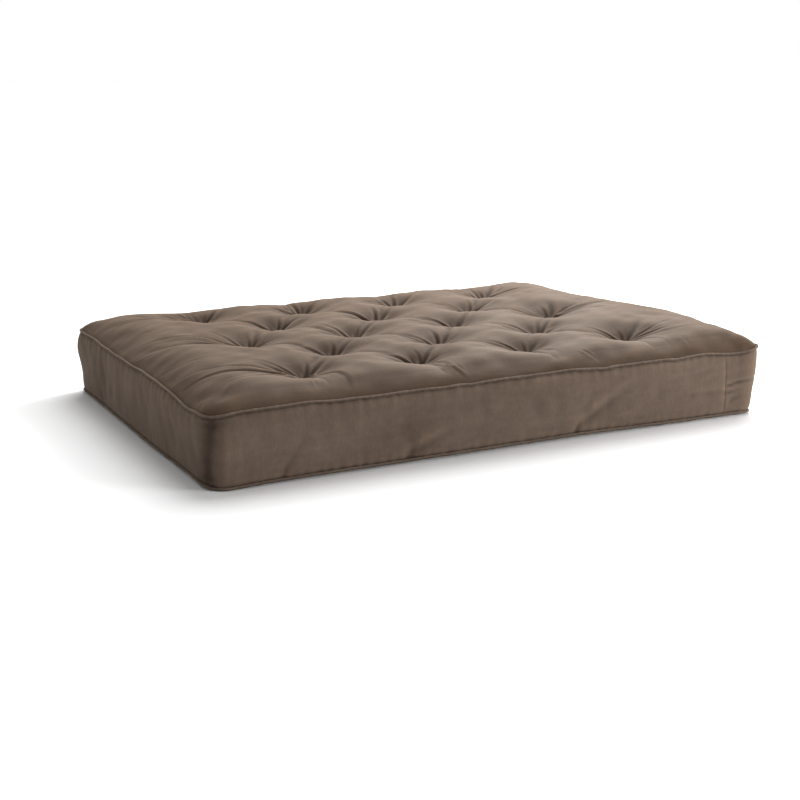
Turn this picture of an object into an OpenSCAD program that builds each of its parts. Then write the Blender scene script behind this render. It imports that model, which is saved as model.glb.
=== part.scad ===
// Tufted futon mattress, full size, lying flat. It folds along its middle row of tufts.
// The origin is at the centre of the underside: X runs along the front, +Y to the back, +Z up.

/* [Cover] */
// Length along the front, over the boxing
mattress_length = 1905; // [1890:1:1930]
// Depth from front to back, over the boxing
mattress_depth = 1371.6; // [1360:1:1390]
// Radius of the four corners in plan
corner_r = 76.2; // [70:1:82]
// Height that the filling would reach without tufts
loft_height = 268; // [262:1:276]
// How far the boxing bulges past the two welted seams
boxing_bulge = 9; // [6:0.5:10]
// Thickness of the cover fabric with its backing
cover_t = 1.6; // [1.2:0.1:1.8]

/* [Piping] */
// Outer diameter of the piping
piping_d = 9; // [8:0.5:10]
// Diameter of the welt cord inside the piping
welt_cord_d = 5.6; // [5:0.2:6]
// Height of the lower piping's centre
bottom_piping_z = 11; // [10:0.5:14]
// Height of the upper piping's centre
top_piping_z = 219.5; // [217:0.5:222]

/* [Tufting] */
// Distance between neighbouring tufts in one row
tuft_pitch = 381; // [370:1:390]
// Distance between rows of tufts
row_pitch = 228.6; // [220:0.5:232]
// Depth that a tuft pulls the top down
tuft_depth = 30; // [20:1:34]
// Radius over which the pull fades
tuft_fade = 70; // [55:1:80]
// Depth of the cups that the tufts make in the underside
cup_depth = 20; // [12:1:22]
// Diameter of the tufting twine
twine_d = 2; // [1.6:0.1:2.2]
// Distance between the two legs of a stitch
stitch_w = 10; // [8:0.5:12]

/* [Filling] */
// Height at which the lower cotton felt starts
lower_felt_z = 32; // [30:1:36]
// Height at which the foam core starts
foam_z = 70; // [60:1:80]
// Height at which the upper cotton felt starts
upper_felt_z = 176; // [160:1:180]
// Height at which the upper batting starts
upper_batting_z = 204; // [198:1:206]

/* [Fold] */
// Height of the fold axis, just over the middle row's valley
fold_z = 248; // [246:1:252]
// Depth of the valley along the fold
fold_valley = 20; // [18:1:24]
// Gap between the seat half and the back half
fold_gap = 2.4; // [2.3:0.1:3]

/* [Hidden] */
HALVES = ["seat", "back"];
ROWS = 5;
function tufts_in_row(row) = row % 2 == 0 ? 4 : 3;
function tie_name(row, k) = str("tuft_tie_row", row + 1, "_", k + 1);
PAIRED = [
    "top_panel", "bottom_panel",
    "boxing_left", "boxing_right",
    "top_piping", "bottom_piping",
    "top_welt_cord", "bottom_welt_cord",
    "lower_batting", "lower_felt", "foam_core", "upper_felt", "upper_batting"
];

$fn = 48;
// Clearance between layers that lie on each other
slip = 0.3;
// Small overlap that joins the pieces of one solid
lap = 0.01;

half_length = mattress_length / 2;
half_depth = mattress_depth / 2;
// Centres of the corner arcs
corner_x = half_length - corner_r;
corner_y = half_depth - corner_r;

// The seam line lies inside the boxing's widest outline by the bulge, and the piping straddles it.
piping_r = piping_d / 2;
piping_inset = boxing_bulge - 3;
panel_inset = piping_inset + piping_r + slip;
boxing_low = bottom_piping_z + piping_r + slip;
boxing_high = top_piping_z - piping_r - slip;

// Place of the joint between the two boxing strips on the front, from the centre
boxing_joint_x = 815;

// The underside is flat up to here and then rises to the lower seam.
rim_w = 50;
cup_r = 45;
cup_top_r = 9;

// Grid of the upholstered top: five cells to each half pitch of the tufts
cell = tuft_pitch / 10;
columns = 2 * floor((half_length - panel_inset) / cell) + 2;
straight_rows = 16;
corner_rows = 6;
crown_run = 190;
shoulder_power = 2.4;

function tuft_x(row, k) = (k - (tufts_in_row(row) - 1) / 2) * tuft_pitch;
function tuft_y(row) = (row - (ROWS - 1) / 2) * row_pitch;
TUFTS = [for (row = [0:ROWS - 1], k = [0:tufts_in_row(row) - 1]) [tuft_x(row, k), tuft_y(row)]];

function sum(list) = len(list) == 0 ? 0 : [for (i = 0, s = list[0]; i < len(list);
    i = i + 1, s = s + (i < len(list) ? list[i] : 0)) s][len(list) - 1];

// Distance inwards from a rounded outline that is inset from the widest one
function distance_inside(x, y, inset) =
    let (qx = abs(x) - corner_x, qy = abs(y) - corner_y)
    corner_r - inset - norm([max(qx, 0), max(qy, 0)]) - min(max(qx, qy), 0);

function shoulder(d) = 1 - pow(1 - min(max(d, 0) / crown_run, 1), shoulder_power);
function pull(x, y) = sum([for (t = TUFTS) exp(-norm([x, y] - t) / tuft_fade)]);

// Height of the top panel's upper face
top_seam_z = top_piping_z + 1;
function top_z(x, y) =
    let (rise = loft_height - top_seam_z - fold_valley * exp(-abs(y) / 50) - tuft_depth * pull(x, y))
    top_seam_z + rise * shoulder(distance_inside(x, y, panel_inset));

// ---- Shared shapes ----

// Mirrors what is modelled as the seat half, y < 0, on to the back half.
module place_half(half) {
    if (half == "back")
        mirror([0, 1, 0]) children();
    else
        children();
}

// Seat half of the outline, inset by some distance, as a slab
module half_slab(inset, low, high) {
    edge = fold_gap / 2;
    translate([0, 0, low])
        linear_extrude(high - low)
            union() {
                translate([-corner_x, -half_depth + inset])
                    square([2 * corner_x, half_depth - inset - edge]);
                translate([-half_length + inset, -corner_y])
                    square([2 * (half_length - inset), corner_y - edge]);
                for (side = [-1, 1])
                    translate([side * corner_x, -corner_y]) circle(corner_r - inset);
            }
}

// Sweeps a profile along straight edges and one corner. In the profile, x is the distance from
// the corner's centre and y is the height.
module along_x(from, to) {
    translate([to, -corner_y, 0])
        rotate([0, 0, -90])
            rotate([90, 0, 0])
                linear_extrude(to - from) children();
}

module along_left() {
    translate([-corner_x, -corner_y, 0])
        rotate([0, 0, 180])
            rotate([90, 0, 0])
                linear_extrude(corner_y - fold_gap / 2) children();
}

module round_left_corner() {
    translate([-corner_x, -corner_y, 0])
        rotate([0, 0, 180])
            rotate_extrude(angle = 90, $fn = 96) children();
}

module around_half() {
    union() {
        along_x(-corner_x, corner_x) children();
        for (side = [0, 1])
            mirror([side, 0, 0]) {
                round_left_corner() children();
                along_left() children();
            }
    }
}

// Slits that the twine's two legs pass through, for the rows of one half
module tuft_slits(high) {
    for (t = TUFTS)
        if (t.y < 0)
            translate([t.x - stitch_w / 2 - twine_d, t.y - twine_d / 2 - slip, -1])
                cube([stitch_w + 2 * twine_d, twine_d + 2 * slip, high + 2]);
}

// Cones over the tufts of one half, with the middle row's cut off at the fold
module tuft_cones(low, high, r_low, r_high) {
    intersection() {
        for (t = TUFTS)
            if (t.y <= 0)
                translate([t.x, t.y, low])
                    cylinder(h = high - low, r1 = r_low, r2 = r_high);
        translate([-half_length, -half_depth, low - 1])
            cube([mattress_length, half_depth - fold_gap / 2, high - low + 2]);
    }
}

// ---- Upholstered top, as a height field over the rounded outline ----

// Rows of the grid as [y, half width], from the front edge to the fold
function grid_rows(inset) = concat(
    [for (i = [0:corner_rows - 1]) let (a = 90 * (1 - i / corner_rows), r = corner_r - inset)
        [-corner_y - r * sin(a), corner_x + r * cos(a)]],
    [for (i = [0:straight_rows]) [-max(corner_y * (1 - i / straight_rows), fold_gap / 2),
        half_length - inset]]
);

function column_x(i, inset) =
    let (n = i - columns / 2)
    abs(n) == columns / 2 ? sign(n) * (half_length - inset) : n * cell;

function grid_points(inset) = [for (row = grid_rows(inset), i = [0:columns])
    [column_x(i, inset) * row[1] / (half_length - inset), row[0]]];

// Closed solid between a lower and an upper height function, over the same grid
module padded_half(inset, low_z, high_z) {
    plan = grid_points(inset);
    wide = columns + 1;
    count = len(plan);
    last_row = count / wide - 1;
    rim = concat(
        [for (i = [0:columns]) i],
        [for (j = [1:last_row]) j * wide + columns],
        [for (i = [columns - 1:-1:0]) last_row * wide + i],
        [for (j = [last_row - 1:-1:1]) j * wide]
    );
    cells = [for (j = [0:last_row - 1], i = [0:columns - 1]) j * wide + i];
    polyhedron(
        points = concat(
            [for (p = plan) [p.x, p.y, high_z(p.x, p.y)]],
            [for (p = plan) [p.x, p.y, low_z(p.x, p.y)]]
        ),
        faces = concat(
            [for (c = cells) each [[c, c + wide, c + 1], [c + 1, c + wide, c + wide + 1]]],
            [for (c = cells) each [
                [count + c, count + c + 1, count + c + wide],
                [count + c + 1, count + c + wide + 1, count + c + wide]
            ]],
            [for (k = [0:len(rim) - 1]) let (a = rim[k], b = rim[(k + 1) % len(rim)]) each [
                [a, b, count + a], [b, count + b, count + a]
            ]]
        )
    );
}

// ---- Cover ----

module top_panel(half) {
    color("rosybrown")
        place_half(half)
            difference() {
                padded_half(
                    panel_inset,
                    function (x, y) top_z(x, y) - cover_t,
                    function (x, y) top_z(x, y)
                );
                tuft_slits(loft_height);
            }
}

// The flat sheet, the rim that rises to the lower seam, and the cups of the tufts
module bottom_panel(half) {
    flat_inset = panel_inset + rim_w;
    seam_z = bottom_piping_z - piping_r;
    outer = corner_r - panel_inset;
    inner = corner_r - flat_inset;
    color("rosybrown")
        place_half(half)
            difference() {
                union() {
                    half_slab(flat_inset, 0, cover_t);
                    around_half()
                        polygon([
                            [inner - 1, 0], [inner, 0], [outer, seam_z],
                            [outer, seam_z + cover_t], [inner, cover_t], [inner - 1, cover_t]
                        ]);
                    tuft_cones(0, cup_depth + cover_t, cup_r + cover_t, cup_top_r + cover_t);
                }
                tuft_cones(-lap, cup_depth, cup_r, cup_top_r);
                tuft_slits(loft_height);
            }
}

// Bulge of the boxing at a height, zero at the two seams
function bulge_at(z) =
    let (mid = (boxing_low + boxing_high) / 2, reach = (boxing_high - boxing_low) / 2)
    boxing_bulge * (1 - pow((z - mid) / reach, 2));

module boxing_profile() {
    steps = 12;
    seam_r = corner_r - boxing_bulge;
    heights = [for (i = [0:steps]) boxing_low + (boxing_high - boxing_low) * i / steps];
    polygon(concat(
        [for (z = heights) [seam_r + bulge_at(z), z]],
        [for (i = [steps:-1:0]) [seam_r - cover_t + bulge_at(heights[i]), heights[i]]]
    ));
}

// From the front joint to the left, round the corner and along the left end to the fold
module long_boxing() {
    union() {
        along_x(-corner_x, boxing_joint_x - slip / 2) boxing_profile();
        round_left_corner() boxing_profile();
        along_left() boxing_profile();
    }
}

// The rest of that strip past the fold: the left end, the corner and a short stretch of the back
module short_boxing() {
    mirror([0, 1, 0])
        union() {
            along_left() boxing_profile();
            round_left_corner() boxing_profile();
            along_x(-corner_x, -boxing_joint_x - slip / 2) boxing_profile();
        }
}

module boxing_left(half) {
    color("saddlebrown")
        if (half == "seat")
            long_boxing();
        else
            short_boxing();
}

// The right strip is the left one turned half round, so its long part is on the back.
module boxing_right(half) {
    color("saddlebrown")
        rotate([0, 0, 180])
            if (half == "seat")
                short_boxing();
            else
                long_boxing();
}

// ---- Piping ----

module piping(half, z) {
    color("peru")
        place_half(half)
            around_half()
                translate([corner_r - piping_inset, z])
                    difference() {
                        circle(piping_r);
                        circle(welt_cord_d / 2 + slip / 2);
                    }
}

module welt_cord(half, z) {
    color("ivory")
        place_half(half)
            around_half()
                translate([corner_r - piping_inset, z]) circle(welt_cord_d / 2);
}

// ---- Filling ----

// Inset that keeps a layer behind the boxing's inner face over its whole height
function layer_inset(low, high) =
    boxing_bulge - min(bulge_at(low), bulge_at(high)) + cover_t + slip;

module flat_layer(half, low, high) {
    place_half(half)
        difference() {
            half_slab(layer_inset(low, high - slip), low, high - slip);
            tuft_slits(loft_height);
        }
}

// The lower batting rests on the bottom panel, so it rises over the rim and over the cups.
module lower_batting(half) {
    low = cover_t + slip;
    flat_inset = panel_inset + rim_w;
    seam_top = bottom_piping_z + piping_r + slip;
    outer = corner_r - panel_inset - slip;
    inner = corner_r - flat_inset;
    color("whitesmoke")
        place_half(half)
            difference() {
                union() {
                    half_slab(flat_inset, low, lower_felt_z - slip);
                    around_half()
                        polygon([
                            [inner - 1, low], [inner, low], [outer, seam_top],
                            [outer, lower_felt_z - slip], [inner - 1, lower_felt_z - slip]
                        ]);
                }
                tuft_cones(low - 1, cup_depth + low, cup_r + low, cup_top_r + low);
                tuft_slits(loft_height);
            }
}

module lower_felt(half) {
    color("wheat") flat_layer(half, lower_felt_z, foam_z);
}

module foam_core(half) {
    color("lemonchiffon") flat_layer(half, foam_z, upper_felt_z);
}

module upper_felt(half) {
    color("wheat") flat_layer(half, upper_felt_z, upper_batting_z);
}

// Flat below, and shaped above by the tufted panel that it fills
module upper_batting(half) {
    color("whitesmoke")
        place_half(half)
            difference() {
                padded_half(
                    panel_inset,
                    function (x, y) upper_batting_z,
                    function (x, y) top_z(x, y) - cover_t - slip
                );
                tuft_slits(loft_height);
            }
}

// ---- Tuft ties ----

// A closed loop of twine through the whole filling: a stitch above, two legs, a stitch and a
// knot below
module tuft_tie(row, k) {
    r = twine_d / 2;
    low = cup_depth - r - slip;
    high = top_z(tuft_x(row, k), tuft_y(row)) + r + slip;
    color("dimgray")
        translate([tuft_x(row, k), tuft_y(row), 0])
            union() {
                for (side = [-1, 1])
                    translate([side * stitch_w / 2, 0, low]) cylinder(h = high - low, r = r);
                for (z = [low, high]) {
                    translate([-stitch_w / 2, 0, z])
                        rotate([0, 90, 0]) cylinder(h = stitch_w, r = r);
                    for (side = [-1, 1])
                        translate([side * stitch_w / 2, 0, z]) sphere(r);
                }
                translate([0, 0, low - r]) sphere(2 * r);
            }
}

for (half = HALVES) {
    top_panel(half);
    bottom_panel(half);
    boxing_left(half);
    boxing_right(half);
    piping(half, top_piping_z);
    piping(half, bottom_piping_z);
    welt_cord(half, top_piping_z);
    welt_cord(half, bottom_piping_z);
    lower_batting(half);
    lower_felt(half);
    foam_core(half);
    upper_felt(half);
    upper_batting(half);
}
for (row = [0:ROWS - 1], k = [0:tufts_in_row(row) - 1])
    tuft_tie(row, k);
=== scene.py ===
"""A tufted futon mattress in brown microsuede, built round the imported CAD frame."""

import math

import bpy
import numpy as np
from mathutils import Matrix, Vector


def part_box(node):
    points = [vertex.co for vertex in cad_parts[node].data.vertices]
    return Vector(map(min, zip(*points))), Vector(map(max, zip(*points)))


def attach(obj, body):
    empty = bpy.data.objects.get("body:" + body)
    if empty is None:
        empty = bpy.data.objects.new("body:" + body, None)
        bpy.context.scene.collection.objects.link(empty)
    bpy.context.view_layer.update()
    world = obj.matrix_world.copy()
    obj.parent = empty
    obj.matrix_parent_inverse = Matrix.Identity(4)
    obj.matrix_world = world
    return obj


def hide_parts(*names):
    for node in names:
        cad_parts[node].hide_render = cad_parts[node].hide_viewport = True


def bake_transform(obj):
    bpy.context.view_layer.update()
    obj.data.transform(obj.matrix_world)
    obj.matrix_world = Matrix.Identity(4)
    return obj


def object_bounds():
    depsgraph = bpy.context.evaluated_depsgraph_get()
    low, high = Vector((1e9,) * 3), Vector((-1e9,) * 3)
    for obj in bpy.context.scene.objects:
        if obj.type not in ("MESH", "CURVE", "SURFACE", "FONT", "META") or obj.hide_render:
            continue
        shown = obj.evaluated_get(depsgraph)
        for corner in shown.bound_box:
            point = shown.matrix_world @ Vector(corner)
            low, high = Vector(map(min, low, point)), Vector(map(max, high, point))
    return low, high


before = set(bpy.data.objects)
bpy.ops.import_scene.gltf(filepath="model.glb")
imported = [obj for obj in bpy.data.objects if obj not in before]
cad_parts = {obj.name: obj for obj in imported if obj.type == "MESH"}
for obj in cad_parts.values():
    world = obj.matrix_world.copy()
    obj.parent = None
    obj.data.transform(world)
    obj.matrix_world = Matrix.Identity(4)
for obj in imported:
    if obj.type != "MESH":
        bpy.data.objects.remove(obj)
CAD_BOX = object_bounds()

# ---- Sizes, in metres, from the frame where it has them ----

SEAT, BACK = "seat_section", "back_section"
LENGTH = CAD_BOX[1].x - CAD_BOX[0].x
DEPTH = CAD_BOX[1].y - CAD_BOX[0].y
CORNER_R = 0.0762
# Centre of the back right corner's arc
CORNER = np.array([LENGTH / 2 - CORNER_R, DEPTH / 2 - CORNER_R])


def middle(node):
    """The centre of a CAD node's box."""
    low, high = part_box(node)
    return (low + high) / 2


TIES = sorted(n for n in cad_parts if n.startswith("tuft_tie_"))
TUFTS = np.array([[middle(n).x, middle(n).y] for n in TIES])
# Heights of the top at and between tufts
PINCH_Z = 0.224
TOP_SEAM_Z = middle("top_piping_seat").z
LOW_SEAM_Z = middle("bottom_piping_seat").z
PIPING_R = (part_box("top_piping_seat")[1].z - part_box("top_piping_seat")[0].z) / 2
# How far inside the widest outline the seams and the panels' edges lie
SEAM_INSET = 0.006
PANEL_INSET = SEAM_INSET + 0.45 * PIPING_R

# ---- The outline, anticlockwise from the middle of the front ----

ARC_POINTS = 33
SEARCH_STEP = 0.01
SEARCH_BATCH = 4000
# How many waves go once round a seam
SEAM_WAVES = (5, 9, 14, 23, 37, 52)


def bell(x):
    return np.exp(-(x**2))


def travelled(path):
    """Distance along a path to each of its points."""
    return np.concatenate([[0], np.cumsum(np.linalg.norm(np.diff(path, axis=0), axis=1))])


def corner_arc(k):
    """Points and outward normals round corner k, from the front right anticlockwise."""
    turn = np.linspace(0, math.pi / 2, ARC_POINTS) + (k - 1) * math.pi / 2
    out = np.stack([np.cos(turn), np.sin(turn)], 1)
    centre = CORNER * np.sign(out[ARC_POINTS // 2])
    return centre + CORNER_R * out, out


arcs = [corner_arc(k) for k in range(4)]
front = (np.array([[0, -DEPTH / 2]]), np.array([[0.0, -1.0]]))
PATH, NORMALS = (np.concatenate([front[i], *(a[i] for a in arcs), front[i]]) for i in (0, 1))
STATIONS = travelled(PATH)
PERIMETER = STATIONS[-1]
QUARTER = STATIONS[ARC_POINTS] - STATIONS[1]


def outline(s):
    """Points and outward normals of the widest outline, at distances s along it."""
    s = np.mod(s, PERIMETER)
    points = np.stack([np.interp(s, STATIONS, PATH[:, i]) for i in (0, 1)], 1)
    normals = np.stack([np.interp(s, STATIONS, NORMALS[:, i]) for i in (0, 1)], 1)
    return points, normals / np.linalg.norm(normals, axis=1)[:, None]


def on_left(y):
    """Place along the outline of a point on the left end, which is negative."""
    return -(CORNER[0] + QUARTER + y + CORNER[1])


def inside_outline(xy, inset):
    """How far each point lies inside the outline, drawn in by the inset."""
    q = np.abs(xy) - CORNER
    return CORNER_R - inset - np.linalg.norm(np.maximum(q, 0), axis=1) - np.minimum(q.max(1), 0)


def to_tufts(xy):
    """Distance from each point to each tuft."""
    return np.linalg.norm(xy[:, None] - TUFTS[None], axis=2)


def nearest_station(xy):
    """Place along the outline nearest to each point."""
    s = np.arange(0, PERIMETER, SEARCH_STEP)
    points, normals = outline(s)
    found = np.empty(len(xy))
    for part in np.array_split(np.arange(len(xy)), max(1, len(xy) // SEARCH_BATCH)):
        gap = xy[part, None] - points[None]
        best = (gap**2).sum(2).argmin(1)
        tangent = np.stack([-normals[best, 1], normals[best, 0]], 1)
        found[part] = s[best] + (gap[np.arange(len(part)), best] * tangent).sum(1)
    return np.mod(found, PERIMETER)


def bump(s, at, width):
    """A smooth bump of height 1 at one place along the outline."""
    d = np.mod(s - at + PERIMETER / 2, PERIMETER) - PERIMETER / 2
    return bell(d / width)


def wander(s, seed, size):
    """A smooth closed wave along the outline."""
    rng = np.random.default_rng(seed)
    phase = rng.uniform(0, math.tau, len(SEAM_WAVES))
    terms = enumerate(zip(SEAM_WAVES, phase))
    return size * sum(np.sin(math.tau * n * s / PERIMETER + p) / (1 + 0.5 * i) for i, (n, p) in terms)


# Middles of the two front corners, along the outline
FRONT_RIGHT = CORNER[0] + QUARTER / 2
FRONT_LEFT = -FRONT_RIGHT
# Where each seam dips or stands up: place, height and width of each bump
TOP_SEAM_BUMPS = (
    (0.855, -0.006, 0.070),
    (-0.130, -0.0045, 0.035),
    (0.340, -0.0040, 0.030),
    (0.610, -0.0025, 0.030),
    (FRONT_RIGHT + 0.01, 0.013, 0.040),
    (on_left(-0.50), -0.016, 0.16),
    (FRONT_LEFT, -0.006, 0.06),
)
LOW_SEAM_BUMPS = ((-0.90, -0.006, 0.09), (0.05, 0.006, 0.45), (FRONT_RIGHT, -0.002, 0.06))
# The ear that the cover makes at the front right corner: place, reach and width
EAR = (FRONT_RIGHT, 0.030, 0.036)
LOW_EAR_SHARE = 0.35


def seam_line(s, level, bumps, ear_share, seed, size):
    """Height of a seam, and how far it stands out past its usual line."""
    z = level + sum(h * bump(s, at, w) for at, h, w in bumps) + wander(s, seed, size)
    at, out, width = EAR
    return z, ear_share * out * bump(s, at, width) + wander(s, seed + 1, 0.0012)


def top_seam(s):
    return seam_line(s, TOP_SEAM_Z, TOP_SEAM_BUMPS, 1, seed=3, size=0.0017)


def low_seam(s):
    return seam_line(s, LOW_SEAM_Z, LOW_SEAM_BUMPS, LOW_EAR_SHARE, seed=5, size=0.0008)


# ---- Meshes ----


def read(items, key, wide=1, kind=np.float32):
    """One property of each vertex, edge or corner of a mesh."""
    values = np.empty(len(items) * wide, kind)
    items.foreach_get(key, values)
    return values.reshape(-1, wide) if wide > 1 else values


def new_object(name, points, faces, uv=None):
    """A smooth mesh object. uv gives each point's place on the flat cloth, in metres."""
    mesh = bpy.data.meshes.new(name)
    mesh.from_pydata(np.asarray(points).reshape(-1, 3).tolist(), [], np.asarray(faces).tolist())
    mesh.shade_smooth()
    if uv is not None:
        corner = read(mesh.loops, "vertex_index", kind=np.int32)
        layer = mesh.uv_layers.new(name="cloth")
        layer.uv.foreach_set("vector", np.asarray(uv, np.float32).reshape(-1, 2)[corner].ravel())
    obj = bpy.data.objects.new(name, mesh)
    bpy.context.scene.collection.objects.link(obj)
    return obj


def get_points(mesh):
    return read(mesh.vertices, "co", 3).astype(float)


def set_points(mesh, points):
    mesh.vertices.foreach_set("co", np.asarray(points, np.float32).ravel())
    mesh.update()


def grid_faces(rows, columns):
    """Quads over a grid of points, row by row."""
    j, i = np.meshgrid(np.arange(rows - 1), np.arange(columns - 1), indexing="ij")
    a = j * columns + i
    return np.stack([a, a + 1, a + 1 + columns, a + columns], 2).reshape(-1, 4)


def subdivided(obj):
    """The object after one smooth subdivision, which is applied."""
    modifier = obj.modifiers.new("subdivision", "SUBSURF")
    modifier.levels = modifier.render_levels = 1
    modifier.boundary_smooth = "PRESERVE_CORNERS"
    graph = bpy.context.evaluated_depsgraph_get()
    mesh = bpy.data.meshes.new_from_object(obj.evaluated_get(graph))
    obj.modifiers.clear()
    obj.data = mesh
    return obj


# Spacing of the tufts' columns and rows, and how much a grid is drawn together there
TUFT_PITCH = (0.1905, 0.2286)
GATHER = 0.35
# Share of a pitch over which it is left alone towards the border
FREE_SHARE = 0.6


def gathered(v, pitch, amount):
    """Grid lines drawn together at each multiple of the pitch."""
    free = np.clip((v[-1] - np.abs(v)) / (FREE_SHARE * pitch), 0, 1)
    return v - free * amount * pitch / (math.tau) * np.sin(math.tau * v / pitch)


def plan_grid(inset, step, corner_rows=6, gather=0.0):
    """A grid of plan points over the rounded outline, as rows from front to back."""
    r = CORNER_R - inset
    turn = np.linspace(math.pi / 2, 0, corner_rows + 1)[:-1]
    straight = np.linspace(-CORNER[1], CORNER[1], 2 * round(CORNER[1] / step) + 1)
    straight = gathered(straight, TUFT_PITCH[1], gather)
    y = np.concatenate([-CORNER[1] - r * np.sin(turn), straight, CORNER[1] + r * np.sin(turn[::-1])])
    reach = np.concatenate([r * np.cos(turn), np.full(len(straight), r), r * np.cos(turn[::-1])])
    half = CORNER[0] + r
    across = gathered(np.linspace(-half, half, 2 * round(half / step) + 1), TUFT_PITCH[0], gather) / half
    x = across[None] * (CORNER[0] + reach)[:, None]
    return np.stack(np.broadcast_arrays(x, y[:, None]), 2)


# ---- Relief ----


def waves(xy, seed, size, length, count=12):
    """Smooth random relief, the same on each run."""
    rng = np.random.default_rng(seed)
    turn = rng.uniform(0, math.pi, count)
    number = math.tau / (length * rng.uniform(0.7, 1.5, count))
    along = xy @ np.stack([np.cos(turn), np.sin(turn)])
    return size * np.sin(along * number + rng.uniform(0, math.tau, count)).sum(1) / math.sqrt(count / 2)


# Creases that run out from a tuft: angle from +X and turn in degrees, length, depth and width in
# millimetres, and the side its raised lip is on, 1 for the left of its direction
TUFT_PLEATS = (
    (86, 20, 80, 2.6, 4.6, -1),
    (100, 26, 155, 7.5, 4.8, -1),
    (114, 25, 145, 7.0, 4.6, -1),
    (128, 18, 110, 4.8, 4.8, -1),
    (150, 0, 190, 8.0, 11.0, 1),
    (166, -6, 150, 3.2, 5.5, 1),
    (186, -4, 90, 2.6, 5.0, 1),
    (30, 14, 190, 9.0, 12.0, -1),
    (49, 18, 130, 6.5, 5.5, -1),
    (63, 8, 75, 2.0, 4.6, -1),
    (75, 4, 55, 1.2, 4.6, -1),
    (12, 8, 120, 3.4, 6.0, -1),
    (-10, -8, 130, 3.6, 6.5, -1),
    (-36, -4, 85, 2.6, 5.0, 1),
    (-70, -10, 90, 3.0, 5.5, 1),
    (-98, 12, 75, 2.6, 5.0, 1),
    (-124, -8, 105, 3.0, 5.5, -1),
    (-152, 6, 75, 2.6, 5.5, -1),
)
# Longer creases from the outer tufts to each border, as above
BORDER_PLEATS = {
    "front": (
        (-30, -48, 215, 5.0, 7.0, 1),
        (-78, -14, 200, 4.2, 6.0, -1),
        (-112, 12, 150, 2.6, 5.0, 1),
    ),
    "back": (
        (72, 14, 200, 4.6, 7.0, -1),
        (108, -10, 190, 4.0, 6.0, 1),
        (138, -30, 180, 2.6, 5.0, 1),
    ),
    "left": (
        (150, 10, 350, 5.4, 6.0, 1),
        (163, 4, 360, 4.8, 5.4, 1),
        (176, 2, 340, 5.2, 6.0, -1),
        (190, -6, 300, 3.6, 5.4, -1),
        (207, -12, 260, 3.0, 5.0, -1),
    ),
    "right": (
        (-22, 8, 300, 3.6, 5.4, 1),
        (-8, 4, 330, 3.8, 5.4, -1),
        (6, -2, 300, 3.6, 5.0, 1),
        (20, -6, 260, 3.4, 5.0, -1),
    ),
}
# Ridges of crushed nap near the front seam: where each starts, then as above, rising
CRUSHES = (
    ((-0.165, -0.575), (-72, 8, 105, -5.6, 5.5, 1)),
    ((-0.150, -0.585), (-80, 10, 90, -4.4, 5.0, -1)),
    ((-0.125, -0.600), (-96, 6, 70, -3.6, 4.5, 1)),
    ((0.300, -0.605), (-62, 4, 75, -5.6, 4.5, 1)),
    ((0.322, -0.600), (-66, 6, 80, -4.6, 4.5, -1)),
    ((0.690, -0.590), (-84, 6, 75, -2.2, 5.0, 1)),
    ((-0.600, -0.590), (-98, 6, 75, -2.4, 5.0, 1)),
    ((-0.840, -0.560), (-140, 10, 90, -3.0, 7.0, 1)),
)
# Places where the filling is slack under the cover: middle, radius and depth
DENTS = (((-0.880, -0.590), 0.045, 0.0075), ((0.02, -0.600), 0.060, 0.0030))
# The hollow on one side of each tuft and the lip on the other: distance, length, width and height
WEDGE_WAY = np.array([math.cos(math.radians(66)), math.sin(math.radians(66))])
WEDGE = ((0.036, 0.036, 0.044, -0.0048), (-0.024, 0.015, 0.050, 0.0040))
LIP = 0.5
# How far single creases stray from those lists: angle and turn in degrees, then shares
TURN_SPREADS = (5, 7)
SIZE_SPREADS = ((0.75, 1.25), (0.5, 1.25), (0.85, 1.2))
# The puckers round a tuft: height, reach, and the numbers of two sets of ridges
PUCKER, PUCKER_W = 0.0011, 0.022
PUCKER_RIDGES = (13, 19)
PINCH_R = 0.012
# How much further from a border than the nearest tuft its own tufts may be
BORDER_REACH = 0.1


def crease_at(xy, tuft, pleat, rng):
    """One crease from a tuft: which points it reaches, and how it moves them."""
    lip = pleat[-1]
    angle, turn = (math.radians(v + rng.normal(0, by)) for v, by in zip(pleat, TURN_SPREADS))
    length, depth, width = (v / 1000 * rng.uniform(*by) for v, by in zip(pleat[2:], SIZE_SPREADS))
    away = xy - tuft
    r = np.linalg.norm(away, axis=1)
    near = np.nonzero(r < length)[0]
    r = r[near]
    t = r / length
    off = np.arctan2(away[near, 1], away[near, 0]) - angle - turn * t
    u = r * np.sin(off) / (width * (0.65 + 0.7 * t))
    fade = np.clip(t / 0.07, 0, 1) * (1 - t) ** 1.3 * (np.cos(off) > 0)
    valley = np.exp(-(np.abs(u) ** 1.6))
    ridge = bell((lip * u - 1.7) / 1.1)
    return near, -depth * fade * (valley - LIP * ridge)


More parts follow.
